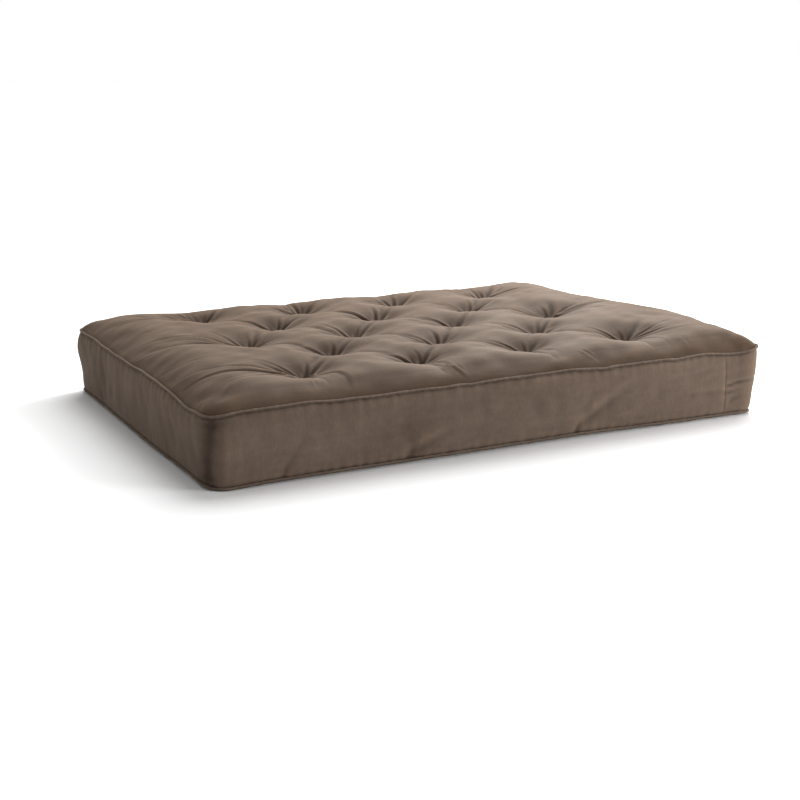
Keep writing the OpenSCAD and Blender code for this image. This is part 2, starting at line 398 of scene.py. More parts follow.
def pleat_relief(xy, seed, strength):
    """Relief of the creases and puckers round the tufts."""
    relief = np.zeros(len(xy))
    x, y = TUFTS.T
    edge = {"front": -y, "back": y, "left": -x, "right": x}
    for number, tuft in enumerate(TUFTS):
        rng = np.random.default_rng(seed + number)
        pleats = list(TUFT_PLEATS)
        for side, out in edge.items():
            if out[number] > out.max() - BORDER_REACH:
                pleats += BORDER_PLEATS[side]
        for pleat in pleats:
            near, moved = crease_at(xy, tuft, pleat, rng)
            relief[near] += moved * strength
        away = xy - tuft
        r = np.linalg.norm(away, axis=1)
        bearing = np.arctan2(away[:, 1], away[:, 0])
        many, more = PUCKER_RIDGES
        ring = np.sin(many * bearing + rng.uniform(0, 6)) + 0.6 * np.sin(more * bearing + rng.uniform(0, 6))
        back, side = away @ WEDGE_WAY, away @ (-WEDGE_WAY[1], WEDGE_WAY[0])
        for at, length, width, height in WEDGE:
            relief += strength * height * np.exp(-(((back - at) / length) ** 2) - (side / width) ** 2)
        relief += strength * PUCKER * ring * np.clip(r / PINCH_R, 0, 1) * np.exp(-r / PUCKER_W)
    return relief


# ---- Upholstered top ----

TOP_STEP = 0.0105
# Crown before the simulation, and the width and powers of the curve from the seam up to it
START_CROWN = 0.256
SHOULDER_W = 0.14
SHOULDER_POWERS = (2.2, 0.62)
# How far the cover hangs over its own seam, and how far inside that is
OVERHANG, OVERHANG_W = 0.008, 0.020
# How fast a seam's own waves fade inwards
SEAM_FADE_W = 0.05
PULL_W = 0.056
# The crown is rounded off from the knee up to the limit.
KNEE_Z, CROWN_LIMIT = 0.274, 0.2825
SIM_FRAMES = 34
FILLING_HOLD = 0.02
HELD_POINTS = 4
# How much fuller the cloth is cut, and the depth and width of where that sets in
GROWTH = 0.012
GROWTH_EDGE = (0.02, 0.10)
CLOTH = dict(
    quality=5, mass=0.1, air_damping=2.0, shear_stiffness=3, bending_stiffness=0.1, pin_stiffness=1,
    tension_stiffness=20, compression_stiffness=20, use_pressure=True, uniform_pressure_force=9.0,
    vertex_group_mass="hold", vertex_group_shrink="uncut", shrink_min=-GROWTH, shrink_max=0,
)
# How the border is evened out: rounds and share, and the depth and width of its inner end
EVEN_ROUNDS, EVEN_SHARE = 6, 0.6
EVEN_EDGE = (0.12, 0.10)
# How near the seam counts as on it, and how far the relief takes to set in
ON_SEAM, RELIEF_EDGE = 0.001, 0.03
PLEAT_SEED, CRUSH_SEED = 100, 7
PLEAT_STRENGTH = 1.4
# Where the filling is bunched behind the right end's seam: place along Y, rise and length
FULL_SHOULDERS = ((-0.27, 0.038, 0.27), (0.10, 0.010, 0.14), (-0.60, 0.016, 0.10))
# How far inside the seam that is, its share outwards, and how far it takes to set in
FULL_W, FULL_OUT, FULL_FRONT, FULL_EDGE = 0.040, 0.35, 0.06, 0.012


def cushion_height(xy, seam_z, crown):
    """Heights of the filling: crowned, rounded to the seam and drawn down at the tufts."""
    depth = np.maximum(inside_outline(xy, PANEL_INSET), 0)
    rounding, rise = SHOULDER_POWERS
    shoulder = (1 - (1 - np.minimum(depth / SHOULDER_W, 1)) ** rounding) ** rise
    pull = (crown - PINCH_Z) * np.exp(-to_tufts(xy) / PULL_W).sum(1)
    return seam_z + (crown - seam_z - pull) * shoulder


def full_shoulder(xy, inside):
    """How far the cover stands up and out where the filling is bunched at the right end."""
    full = sum(rise * bell((xy[:, 1] - at) / length) for at, rise, length in FULL_SHOULDERS)
    full *= 1 - np.exp(-np.maximum(xy[:, 1] + DEPTH / 2 - PANEL_INSET, 0) / FULL_FRONT)
    full *= np.clip(inside / FULL_EDGE, 0, 1)
    behind = np.maximum(LENGTH / 2 - PANEL_INSET - xy[:, 0], 0)
    up, out = behind / FULL_W, behind / OVERHANG_W
    return np.column_stack([full * up * np.exp(1 - up), FULL_OUT * full * out * np.exp(1 - out)])


def hold_weights(xy):
    """How firmly the cloth is held: fully at the seam and the tufts, a little by the filling."""
    hold = np.full(len(xy), FILLING_HOLD)
    hold[np.argsort(to_tufts(xy), axis=0)[:HELD_POINTS].ravel()] = 1
    hold[inside_outline(xy, PANEL_INSET) < ON_SEAM] = 1
    return hold


def relax_cloth(obj, hold, uncut):
    """Blender's Cloth on a cover that is cut a little full, with its result applied."""
    for name, weights in (("hold", hold), ("uncut", uncut)):
        group = obj.vertex_groups.new(name=name)
        for i in np.nonzero(weights > 0)[0].tolist():
            group.add([i], float(weights[i]), "REPLACE")
    modifier = obj.modifiers.new("cloth", "CLOTH")
    for key, value in CLOTH.items():
        setattr(modifier.settings, key, value)
    modifier.settings.effector_weights.gravity = 0
    modifier.collision_settings.use_collision = False
    modifier.point_cache.frame_start, modifier.point_cache.frame_end = 1, SIM_FRAMES
    scene = bpy.context.scene
    for number in range(1, SIM_FRAMES + 1):
        scene.frame_set(number)
    graph = bpy.context.evaluated_depsgraph_get()
    relaxed = get_points(obj.evaluated_get(graph).data)
    obj.modifiers.clear()
    obj.vertex_groups.clear()
    scene.frame_set(1)
    return relaxed


def softened(z, rounds):
    """Heights over a grid, averaged with their neighbours."""
    for _ in range(rounds):
        z = np.pad(z, 1, "edge")
        z = (z[:-2] + 2 * z[1:-1] + z[2:]) / 4
        z = (z[:, :-2] + 2 * z[:, 1:-1] + z[:, 2:]) / 4
    return z


def evened_border(relaxed, inside, rows, columns):
    """The relaxed cloth with the buckles near its seam evened out."""
    at, width = EVEN_EDGE
    border = np.clip(1 - (inside - at) / width, 0, 1)
    soft = softened(relaxed[:, 2].reshape(rows, columns), EVEN_ROUNDS).ravel()
    soft[inside < ON_SEAM] = relaxed[inside < ON_SEAM, 2]
    relaxed[:, 2] += (soft - relaxed[:, 2]) * EVEN_SHARE * border
    return relaxed


def add_creases(obj):
    """Moves the cover's points into its pleats, crushed ridges and slack places."""
    points = get_points(obj.data)
    fine = points[:, :2]
    soft_edge = np.clip(inside_outline(fine, PANEL_INSET) / RELIEF_EDGE, 0, 1)
    points[:, 2] += pleat_relief(fine, PLEAT_SEED, PLEAT_STRENGTH) * soft_edge
    points[:, 2] += waves(fine * (1, 1.2), seed=21, size=0.0007, length=0.10) * soft_edge
    rng = np.random.default_rng(CRUSH_SEED)
    for at, ridge in CRUSHES:
        near, moved = crease_at(fine, np.array(at), ridge, rng)
        points[near, 2] += moved * soft_edge[near]
    for at, radius, depth in DENTS:
        points[:, 2] -= depth * np.exp(-((fine - at) ** 2).sum(1) / radius**2) * soft_edge
    set_points(obj.data, points)
    return points


def top_panel():
    """The upholstered top, and its points on the grid it was made from."""
    plan = plan_grid(PANEL_INSET, TOP_STEP, gather=GATHER)
    rows, columns = plan.shape[:2]
    xy = plan.reshape(-1, 2)
    s = nearest_station(xy)
    seam_z, seam_out = top_seam(s)
    inside = inside_outline(xy, PANEL_INSET)
    rolled = np.maximum(inside, 0) / OVERHANG_W
    out = seam_out * np.exp(-inside / SEAM_FADE_W) + OVERHANG * rolled * np.exp(1 - rolled)
    shifted = xy + outline(s)[1] * out[:, None]
    start = np.column_stack([shifted, cushion_height(xy, seam_z, START_CROWN)])
    obj = new_object("top_panel", start, grid_faces(rows, columns), xy)
    at, width = GROWTH_EDGE
    relaxed = relax_cloth(obj, hold_weights(xy), np.clip(1 - (inside - at) / width, 0, 1))
    relaxed = evened_border(relaxed, inside, rows, columns)
    relaxed[:, [2, 0]] += full_shoulder(xy, inside)
    high = np.maximum(relaxed[:, 2] - KNEE_Z, 0)
    room = CROWN_LIMIT - KNEE_Z
    relaxed[:, 2] += room * np.tanh(high / room) - high
    set_points(obj.data, relaxed)
    subdivided(obj)
    points = add_creases(obj)
    return obj, points[: rows * columns].reshape(rows, columns, 3)


# ---- Boxing ----

# Where the strips meet on the front, and how far their ends are turned in
JOINT = 0.815
JOINT_FOLD = 0.003
# Height at which the joint is caught in
TACK_Z = 0.106
BULGE = 0.009
# How far a strip turns in under each piping, and over what share of its height
TUCK, TUCK_W = 0.0042, 0.034
# The groove along a joint, and how near it the strips' waves fade
GROOVE, GROOVE_W = 0.0026, 0.0035
JOINT_FADE = 0.06
# The fold round the front left corner: place, lean, depth and width
CORNER_FOLD = (FRONT_LEFT - 0.012, 0.16, 0.0125, 0.032)
CORNER_LEAN_Z = 0.12
# Ripples by the corners: place from the corner, width and height
CORNER_RIPPLES = ((0.055, 0.013, -0.0030), (0.015, 0.030, 0.0016))
LEFT_RIPPLE = (0.052, 0.026, 0.0040)
# Where a strip's points lie near its ends
END_STEPS = (-0.0004, -0.0002, 0.0010, 0.0032)
# Soft folds: start along the outline and up, slope, length, depth and width
BOXING_FOLDS = (
    (JOINT - 0.008, TACK_Z, 0.13, 0.23, 0.0062, 0.0050),
    (JOINT - 0.004, TACK_Z - 0.020, 0.02, 0.10, 0.0030, 0.0060),
    (JOINT - 0.150, TACK_Z - 0.016, 0.06, 0.15, 0.0022, 0.0080),
    (JOINT + 0.010, 0.052, 0.30, 0.17, 0.0030, 0.0120),
    (-0.36, 0.020, 0.42, 0.30, 0.0110, 0.0240),
    (-0.33, 0.060, 0.30, 0.26, -0.0075, 0.0220),
    (0.22, 0.020, 0.60, 0.30, 0.0105, 0.0270),
    (0.27, 0.090, 0.50, 0.26, -0.0075, 0.0240),
    (-0.74, 0.010, 1.60, 0.13, 0.0040, 0.0240),
)


def crease(s, z, at_s, at_z, slope, length, depth, width):
    """A soft straight crease that runs along the boxing and fades out."""
    along = s - at_s
    across = z - at_z - slope * along
    fade = np.clip(along / (0.1 * length), 0, 1) * np.clip(1 - along / length, 0, 1) ** 1.5
    return -depth * fade * bell(across / width)


def boxing_relief(s, z, t, to_joint):
    """How far the boxing stands in or out of its plain bulge."""
    sz = np.column_stack([s, z])
    middle_only = 4 * t * (1 - t)
    out = waves(sz * (1, 0.8), seed=11, size=0.0042, length=0.42) * middle_only
    out += waves(sz, seed=14, size=0.0028, length=0.21) * middle_only
    out += waves(sz * (1, 0.7), seed=12, size=0.0006, length=0.07) * middle_only
    gather = waves(np.column_stack([s, 0 * z]), seed=13, size=0.0009, length=0.034, count=8)
    out += gather * (np.exp(-t * 9) + np.exp(-(1 - t) * 7))
    out *= 1 - bell(to_joint / JOINT_FADE)  # the two strips meet flush
    for corner in (FRONT_RIGHT, FRONT_LEFT, FRONT_RIGHT + PERIMETER / 2, FRONT_LEFT + PERIMETER / 2):
        for at, width, height in CORNER_RIPPLES:
            out += height * bump(s, corner + at, width) * middle_only
    at, lean, depth, width = CORNER_FOLD
    out -= depth * bump(s, at + lean * (z - CORNER_LEAN_Z), width) * np.minimum(2.5 * middle_only, 1)
    at, width, height = LEFT_RIPPLE
    out += height * bump(s, FRONT_LEFT + at, width) * middle_only
    from_front = np.mod(s + PERIMETER / 2, PERIMETER) - PERIMETER / 2
    for fold in BOXING_FOLDS:
        out += crease(from_front, z, *fold)
    out -= GROOVE * bell(to_joint / GROOVE_W) * np.minimum(8 * t * (1 - t), 1)
    pucker = np.sin(math.tau * z / 0.043 + 1.3) + 0.6 * np.sin(math.tau * z / 0.027)
    out -= 0.0011 * pucker * np.exp(-to_joint / 0.028) * middle_only
    return out


def boxing(name, start, end, step=0.010, rows=26):
    """A boxing strip between two places along the outline, from seam to seam."""
    near_end = np.array(END_STEPS)
    between = np.linspace(start + step, end - step, int((end - start) / step) - 1)
    s = np.concatenate([start + near_end, between, end - near_end[::-1]])
    folded = np.zeros(len(s))
    folded[[0, -1]] = JOINT_FOLD  # the allowance at each end is turned in
    t = np.linspace(0, 1, rows)
    points, normals = outline(s)
    (low_z, low_out), (high_z, high_out) = low_seam(s), top_seam(s)
    tuck_low = SEAM_INSET - 0.3 * PIPING_R - low_out
    tuck_high = SEAM_INSET - 0.1 * PIPING_R - high_out
    ss, tt = np.meshgrid(s, t)
    z = low_z + 0.35 * PIPING_R + (high_z - low_z - 0.7 * PIPING_R) * tt
    to_joint = np.minimum(ss - start, end - ss)
    full = BULGE * (1 - 0.85 * bump(ss, FRONT_RIGHT, 0.10))
    inset = tuck_low + (tuck_high - tuck_low) * tt - full * (1 - np.abs(2 * tt - 1) ** 2.6)
    flat = [a.ravel() for a in (ss, z, tt, to_joint)]
    under_piping = TUCK * (np.exp(-tt / TUCK_W) + np.exp(-(1 - tt) / TUCK_W))
    inset = inset + under_piping - boxing_relief(*flat).reshape(tt.shape) + folded
    xy = points[None] - normals[None] * inset[..., None]
    uv = np.stack([ss, z], 2)
    obj = new_object(name, np.concatenate([xy, z[..., None]], 2), grid_faces(rows, len(s)), uv)
    return subdivided(obj)


# ---- Piping and welt cord ----


def seam_loop(seam, step):
    """Points, outward normals and stations round a seam."""
    s = np.linspace(0, PERIMETER, int(PERIMETER / step), endpoint=False)
    points, normals = outline(s)
    z, out = seam(s)
    centre = np.column_stack([points - normals * (SEAM_INSET - out)[:, None], z])
    return s, centre, np.column_stack([normals, np.zeros(len(s))])


def ring_faces(rings, sides, closed):
    """Quads round a closed loop of cross-sections."""
    j, i = np.meshgrid(np.arange(rings), np.arange(sides if closed else sides - 1), indexing="ij")
    a, b = j * sides + i, j * sides + (i + 1) % sides
    c, d = (j + 1) % rings * sides + (i + 1) % sides, (j + 1) % rings * sides + i
    return np.stack([a, d, c, b], 2).reshape(-1, 4)


PIPING_SHARE = 0.92  # the piping is squeezed between the two panels
WRAP_TURN, WRAP_POINTS = 165, 15
# Section of the lip that is sewn into the seam, outwards and up
LIP_SECTION = ((-0.013, -0.0004), (-0.009, -0.0005), (-0.0056, -0.0007))
# Place, height and width of the join in the bias strip
STRIP_JOIN = (PERIMETER / 2 + 0.21, 0.16, 0.012)
CORD_R, CORD_SIDES, CORD_LAY = 0.0024, 10, 0.022
UP = np.array([0, 0, 1.0])


def swept_section(centre, out, section):
    """Points of a section, given outwards and up, at each place round a seam."""
    return centre[:, None] + section[..., :1] * out[:, None] + section[..., 1:] * UP


def piping(name, seam, seed):
    """A bias strip round the welt cord, with its two edges sewn into the seam."""
    s, centre, out = seam_loop(seam, 0.005)
    turn = np.radians(np.linspace(-WRAP_TURN, WRAP_TURN, WRAP_POINTS))
    lip = np.array(LIP_SECTION)
    wrap = np.stack([np.cos(turn), np.sin(turn)], 1)
    uneven = waves(np.column_stack([s, 0 * s]), seed, size=1, length=0.06)
    plump = 1 + 0.03 * np.sin(math.tau * s / 0.021) + 0.05 * uneven
    at, height, width = STRIP_JOIN
    plump += height * bump(s, at, width)
    section = np.concatenate([
        np.repeat(lip[None], len(s), 0),
        wrap[None] * (PIPING_SHARE * PIPING_R * plump)[:, None, None],
        np.repeat((lip * (1, -1))[None, ::-1], len(s), 0),
    ], 1)
    points = swept_section(centre, out, section)
    uv = np.stack(np.broadcast_arrays(s[:, None], travelled(section[0])[None]), 2)
    return new_object(name, points, ring_faces(len(s), section.shape[1], False), uv)


def welt_cord(name, seam):
    """The twisted filler cord inside the piping."""
    s, centre, out = seam_loop(seam, 0.004)
    turn = np.arange(CORD_SIDES) * math.tau / CORD_SIDES
    radius = CORD_R * (1 + 0.07 * np.cos(3 * turn[None] - math.tau * s[:, None] / CORD_LAY))
    section = np.stack([np.cos(turn), np.sin(turn)], 1)[None] * radius[..., None]
    uv = np.stack(np.broadcast_arrays(s[:, None], turn[None] * 0.003), 2)
    return new_object(name, swept_section(centre, out, section), ring_faces(len(s), CORD_SIDES, True), uv)


# ---- Underside and filling ----

# The cup at each tuft, the rim up to the seam, and the room above the deck
CUP_DEPTH, CUP_W = 0.020, 0.024
RIM_W, RIM_POWER = 0.055, 1.7
DECK_CLEARANCE = 0.0003
# Reach, seed and strength of the creases round the cups
FOLD_W, FOLD_SEED, FOLD_STRENGTH = 0.07, 300, 0.7
BOTTOM_STEP = 0.0125


def underside_height(xy):
    """Heights of the lower panel: flat, with a cup at each tuft, and rising to the seam."""
    s = nearest_station(xy)
    depth = np.maximum(inside_outline(xy, PANEL_INSET), 0)
    rim = low_seam(s)[0] * (1 - np.minimum(depth / RIM_W, 1)) ** RIM_POWER
    away = to_tufts(xy).min(1)
    cups = CUP_DEPTH * np.exp(-((away / CUP_W) ** 1.2))
    folds = np.abs(pleat_relief(xy, FOLD_SEED, FOLD_STRENGTH))
    folds *= bell(away / FOLD_W)
    return DECK_CLEARANCE + rim + cups + folds


def bottom_panel():
    """The lower panel, sewn to the lower seam."""
    plan = plan_grid(PANEL_INSET, BOTTOM_STEP)
    xy = plan.reshape(-1, 2)
    s = nearest_station(xy)
    out = low_seam(s)[1] * np.exp(-inside_outline(xy, PANEL_INSET) / SEAM_FADE_W)
    shifted = xy + outline(s)[1] * out[:, None]
    points = np.column_stack([shifted, underside_height(xy)])
    faces = grid_faces(*plan.shape[:2])[:, ::-1]
    return subdivided(new_object("bottom_panel", points, faces, xy))


def pad(name, plan, low_z, high_z):
    """A closed pad between two heights over a grid of plan points."""
    rows, columns = plan.shape[:2]
    xy = plan.reshape(-1, 2)
    count = len(xy)
    points = np.concatenate([np.column_stack([xy, high_z]), np.column_stack([xy, low_z])])
    number = np.arange(count).reshape(rows, columns)
    rim = np.concatenate([number[0], number[1:, -1], number[-1, -2::-1], number[-2:0:-1, 0]])
    ahead = np.roll(rim, -1)
    upper = grid_faces(rows, columns)
    sides = np.stack([rim + count, ahead + count, ahead, rim], 1)
    faces = np.concatenate([upper, upper[:, ::-1] + count, sides])
    return subdivided(new_object(name, points, faces, np.tile(xy, (2, 1))))


# Room beside the filling, between its layers, above the bottom panel and under the cover
SIDE_ROOM, LAYER_GAP, PANEL_GAP, COVER_CLEARANCE = 0.015, 0.001, 0.003, 0.010
LAYER_STEP, BATTING_STEP = 0.026, 0.016
PAD_CORNER_ROWS = 4
# How wide and how far the filling is drawn in round the ties, and its least thicknesses
TIE_PULL_W = 0.028
LAYER_PULL, PANEL_PULL, BATTING_PULL = 0.010, 0.008, 0.009
MIN_LOWER, MIN_UPPER = 0.002, 0.003


def tuft_draw(xy, depth):
    """How far the filling is drawn in round the ties."""
    return depth * bell(to_tufts(xy).min(1) / TIE_PULL_W)


def flat_layer(name):
    """A layer of filling whose faces are level, a little inside its CAD solid."""
    low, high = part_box(name + "_seat")
    inset = LENGTH / 2 - high.x + SIDE_ROOM
    plan = plan_grid(inset, LAYER_STEP, PAD_CORNER_ROWS, GATHER)
    xy = plan.reshape(-1, 2)
    uneven = waves(xy, seed=len(name), size=0.0006, length=0.12)
    slit = LAYER_GAP + tuft_draw(xy, LAYER_PULL)
    return pad(name, plan, low.z + slit + uneven, high.z - slit + uneven)


def lower_batting():
    """The batting between the bottom panel and the lower felt."""
    plan = plan_grid(PANEL_INSET + SIDE_ROOM, BATTING_STEP, PAD_CORNER_ROWS, GATHER)
    xy = plan.reshape(-1, 2)
    low = underside_height(xy) + PANEL_GAP + tuft_draw(xy, PANEL_PULL)
    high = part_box("lower_batting_seat")[1].z + tuft_draw(xy, BATTING_PULL)
    return pad("lower_batting", plan, low, np.maximum(high, low + MIN_LOWER))


def upper_batting(cover):
    """The batting under the top panel, whose shape it follows."""
    z = cover[..., 2]
    for axis in (0, 1, 0, 1):  # the lowest of each point and its neighbours
        z = np.minimum(z, np.minimum(np.roll(z, 1, axis), np.roll(z, -1, axis)))
    rows, columns = (np.unique(np.linspace(0, n - 1, 1 + n // 2).round().astype(int)) for n in z.shape)
    edge = 1 - SIDE_ROOM / (DEPTH / 2)
    plan = cover[rows][:, columns, :2] * edge
    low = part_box("upper_batting_seat")[0].z + LAYER_GAP - tuft_draw(plan.reshape(-1, 2), BATTING_PULL)
    high = np.maximum(z[rows][:, columns].ravel() - COVER_CLEARANCE, low + MIN_UPPER)
    return pad("upper_batting", plan, low, high)


# ---- Tuft ties ----

TWINE_R, TWINE_SIDES, TWINE_STRANDS, TWINE_LAY = 0.001, 8, 2, 0.0066
STRAND_DEPTH = 0.22
# A direction that no tie runs along
ACROSS = np.array([0.31, 1.0, 0.17])
STITCH_W, STITCH_STEP = 0.010, 0.0016
KNOT_POINTS, KNOT_SIZE = 60, 0.0012


def twine(path):
    """Points and faces of a twisted twine swept round a closed path."""
    tangent = np.roll(path, -1, 0) - np.roll(path, 1, 0)
    tangent /= np.linalg.norm(tangent, axis=1)[:, None]
    first = np.cross(tangent, ACROSS)
    first /= np.linalg.norm(first, axis=1)[:, None]
    second = np.cross(first, tangent)
    turn = np.arange(TWINE_SIDES) * math.tau / TWINE_SIDES
    strands = np.cos(TWINE_STRANDS * turn[None] - math.tau * travelled(path)[:, None] / TWINE_LAY)
    r = TWINE_R * (1 + STRAND_DEPTH * strands)
    points = path[:, None] + r[..., None] * (
        np.cos(turn)[None, :, None] * first[:, None] + np.sin(turn)[None, :, None] * second[:, None]
    )
    return points.reshape(-1, 3), ring_faces(len(path), TWINE_SIDES, True)


def tie(cad_name, top_z):
    """A stitch of twine: two legs through the mattress, a bar at each face and a knot below."""
    x, y = middle(cad_name).xy
    low = CUP_DEPTH - 2.5 * TWINE_R
    half = STITCH_W / 2
    legs = int((top_z - low) / STITCH_STEP)
    up = np.column_stack([np.full(legs, half), np.zeros(legs), np.linspace(low, top_z, legs)])
    arch = np.linspace(0, math.pi, 9)[1:-1]
    over = np.column_stack([half * np.cos(arch), 0 * arch, top_z + TWINE_R * np.sin(arch)])
    under = over * (-1, 1, 1)
    under[:, 2] = low - TWINE_R * np.sin(arch)
    path = np.concatenate([up, over, up[::-1] * (-1, 1, 1), under])
    points, faces = twine(path)
    t = np.linspace(0, math.tau, KNOT_POINTS, endpoint=False)
    trefoil = np.column_stack([np.sin(t) + 2 * np.sin(2 * t), np.cos(t) - 2 * np.cos(2 * t), -np.sin(3 * t)])
    knot, knot_faces = twine(trefoil * KNOT_SIZE + (0, 0, low - 2 * TWINE_R))
    return new_object(
        cad_name.replace("tuft_tie", "twine"),
        np.concatenate([points, knot]) + (x, y, 0),
        np.concatenate([faces, knot_faces + len(points)]),
    )


# ---- Camera, light and floor ----

FLOOR_HALF = 60
# The room's light: the heights it changes between, its strength below and above
ROOM_LIGHT = (0.26, 0.50, 1.0, 0.30)


def put(data, way, place=(0, 0, 0)):
    """Puts a camera or a light at a place, turned to look one way."""
    made = bpy.data.objects.new(data.name, data)
    made.location = place
    made.rotation_euler = Vector(way).to_track_quat("-Z", "Y").to_euler()
    bpy.context.scene.collection.objects.link(made)
    return made


def area_light(name, place, target, size, power):
    """A square light that faces a target, and isn't seen itself."""
    data = bpy.data.lights.new(name, "AREA")
    data.size = size
    data.energy = power
    put(data, Vector(target) - Vector(place), place).visible_camera = False


def studio():
    """The camera, soft light, a pale room and the floor."""
    camera = bpy.data.cameras.new("camera")
    camera.lens = 61.7
    camera.sensor_width = 36
    bpy.context.scene.camera = put(camera, (0.4437, 0.8627, -0.2426), (-2.102, -4.050, 1.144))
    area_light("key", (1.7, 1.5, 1.7), (0.4, 0, 0.2), 1.2, 138)
    area_light("fill", (3.0, -3.6, 1.0), (0.1, -0.6, 0.1), 1.6, 185)
    sun = bpy.data.lights.new("overhead", "SUN")
    sun.energy = 2.7
    sun.angle = math.radians(46)
    put(sun, (-0.55, -0.55, -1))
    world = bpy.data.worlds.new("studio")
    bpy.context.scene.world = world
    room = Shader(world, "Background", Color=(1, 1, 1, 1))
    way = room.node("TexCoord").outputs["Generated"]
    up = room.node("SeparateXYZ", {0: way}).outputs["Z"]
    room.set(Strength=room.span(up, *ROOM_LIGHT))
    bpy.context.scene.view_settings.view_transform = "Standard"
    corners = [(FLOOR_HALF * x, FLOOR_HALF * y, 0) for x, y in ((-1, -1), (1, -1), (1, 1), (-1, 1))]
    floor = new_object("floor", corners, [(0, 1, 2, 3)])
    floor.data.materials.append(floor_material())


# ---- Materials ----

# One fabric covers the whole mattress; the top's brown is darker than the boxing's, underside's and piping's
# because the top takes more light: painted shade on the top
TOP_BROWN = (0.054, 0.0355, 0.0245)
BOXING_BROWN = (0.088, 0.063, 0.048)
BOTTOM_BROWN = (0.085, 0.064, 0.050)
PIPING_BROWN = (0.084, 0.063, 0.050)
TWINE_BROWN = (0.060, 0.045, 0.035)
# What the colour is multiplied by where the nap stands up, for its wear and a painted highlight, and in its
# hollows, as painted shade
WORN_NAP_AND_HIGHLIGHT = (1.42, 1.38, 1.32, 1)
HOLLOW_SHADE = (0.50, 0.48, 0.46, 1)
# How far a point stands above its neighbours where its lift is 1
LIFT_UNIT = 0.0004


class Shader:
    """The node tree of a material or a world, built with short calls."""

    def __init__(self, owner, shader, **settings):
        owner.use_nodes = True
        self.owner = owner
        self.tree = owner.node_tree
        self.shader = self.tree.nodes[shader]
        for key, value in settings.items():
            self.shader.inputs[key.replace("_", " ")].default_value = value

    def node(self, kind, inputs=(), **settings):
        """A node with its settings, and its inputs linked or set."""
        made = self.tree.nodes.new("ShaderNode" + kind)
        for key, value in settings.items():
            setattr(made, key, value)
        for key, value in dict(inputs).items():
            if isinstance(value, bpy.types.NodeSocket):
                self.tree.links.new(value, made.inputs[key])
            else:
                made.inputs[key].default_value = value
        return made

    def flat_place(self, scale=(1, 1, 1), turn=0.0):
        """Places on the flat cloth in metres, stretched and turned."""
        uv = self.node("UVMap", uv_map="cloth").outputs["UV"]
        inputs = {"Vector": uv, "Scale": scale, "Rotation": (0, 0, turn)}
        return self.node("Mapping", inputs).outputs["Vector"]

    def space(self):
        """Places in the solid, in metres."""
        return self.node("TexCoord").outputs["Object"]

    def noise(self, place, scale, detail=2.0, roughness=0.5, distortion=0.0):
        inputs = {"Vector": place, "Scale": scale, "Detail": detail, "Roughness": roughness}
        return self.node("TexNoise", inputs | {"Distortion": distortion}).outputs["Fac"]

    def span(self, value, low, high, to_low=0.0, to_high=1.0):
        """A value stretched from one range to another."""
        inputs = {"Value": value, "From Min": low, "From Max": high, "To Min": to_low, "To Max": to_high}
        return self.node("MapRange", inputs).outputs["Result"]

    def maths(self, operation, a, b):
        return self.node("Math", {0: a, 1: b}, operation=operation).outputs[0]

    def mix(self, factor, a, b, blend="MIX"):
        inputs = {0: factor, 6: a, 7: b}
        return self.node("Mix", inputs, data_type="RGBA", blend_type=blend).outputs[2]

    def multiplied(self, tone, value, low, high, dark, pale):
        """The tone multiplied by dark where the value is low, and by pale where it is high."""
        return self.mix(1.0, tone, self.mix(self.span(value, low, high), dark, pale), "MULTIPLY")

    def bump(self, height, distance, under=None):
        """A normal bent by a height, in metres, over another bump."""
        inputs = {"Height": height, "Distance": distance, "Strength": 1.0}
        if under is not None:
            inputs["Normal"] = under
        return self.node("Bump", inputs).outputs["Normal"]

    def set(self, **links):
        """The owner, with these inputs of its shader linked."""
        for key, value in links.items():
            self.tree.links.new(value, self.shader.inputs[key.replace("_", " ")])
        return self.owner


def material(name, **settings):
    return Shader(bpy.data.materials.new(name), "Principled BSDF", **settings)


def shade(colour, factor):
    return (*(c * factor for c in colour), 1)


def grey(value):
    return (value, value, value, 1)


def floor_material():
    """A plain pale floor with a faint unevenness."""
    made = material("floor", Roughness=0.9)
    patches = made.span(made.noise(made.space(), 1.5, 3.0), 0.3, 0.7)
    return made.set(Base_Color=made.mix(patches, grey(0.93), (0.955, 0.955, 0.95, 1)))


